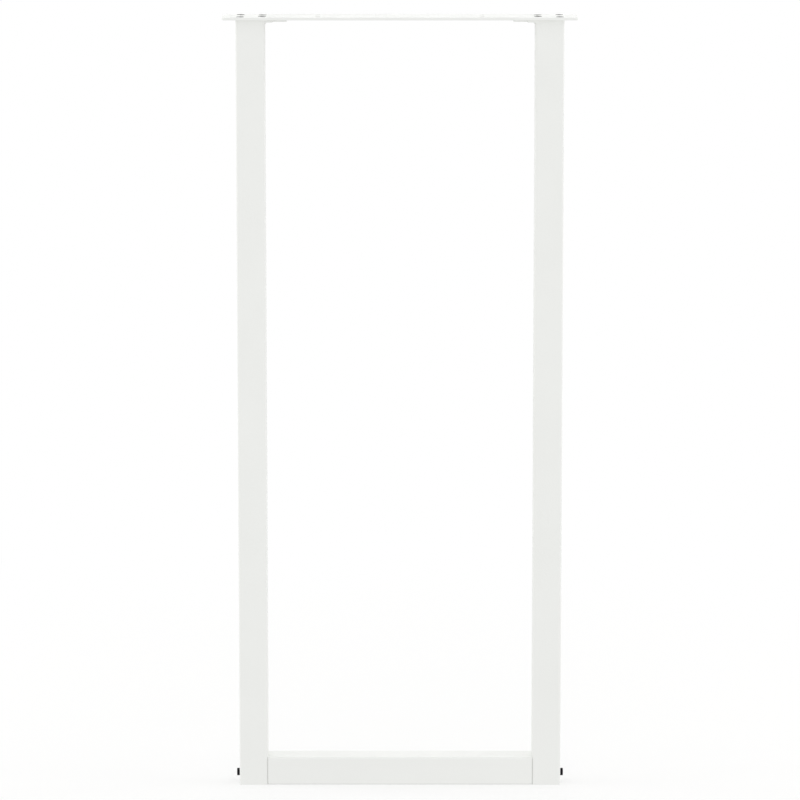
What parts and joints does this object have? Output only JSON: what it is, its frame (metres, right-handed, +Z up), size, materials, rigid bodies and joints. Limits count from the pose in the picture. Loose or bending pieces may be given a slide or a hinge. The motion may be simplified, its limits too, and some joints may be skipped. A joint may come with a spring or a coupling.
{
  "type": "u shaped table leg",
  "caption": "U-shaped table leg frame of square steel posts, with a flat top plate for the tabletop and a square rail along the floor.",
  "frame": {"origin": "on the floor, in the middle of the frame's width and depth", "axes": "+X along the width to the right as seen from the front, +Y from front to back, +Z up to the tabletop"},
  "size_m": [0.325, 0.0364, 0.72],
  "materials": {
    "white_powder_coat": "satin white powder coat with a very fine orange peel",
    "bare_steel": "uncoated mild steel, hidden inside the rail",
    "black_oxide_steel": "black oxide on steel screws, lightly oiled"
  },
  "bodies": {
    "root": {"top_plate": "white_powder_coat", "bottom_rail": "white_powder_coat", "left_post": "white_powder_coat", "left_head_plate": "white_powder_coat", "left_foot_cap": "white_powder_coat", "right_post": "white_powder_coat", "right_head_plate": "white_powder_coat", "right_foot_cap": "white_powder_coat", "left_rail_nut_plate": "bare_steel", "right_rail_nut_plate": "bare_steel", "left_rail_bolt": "black_oxide_steel", "left_screw_outer_front": "black_oxide_steel", "left_screw_outer_back": "black_oxide_steel", "left_screw_inner_front": "black_oxide_steel", "left_screw_inner_back": "black_oxide_steel", "right_rail_bolt": "black_oxide_steel", "right_screw_outer_front": "black_oxide_steel", "right_screw_outer_back": "black_oxide_steel", "right_screw_inner_front": "black_oxide_steel", "right_screw_inner_back": "black_oxide_steel"}
  },
  "joints": []
}
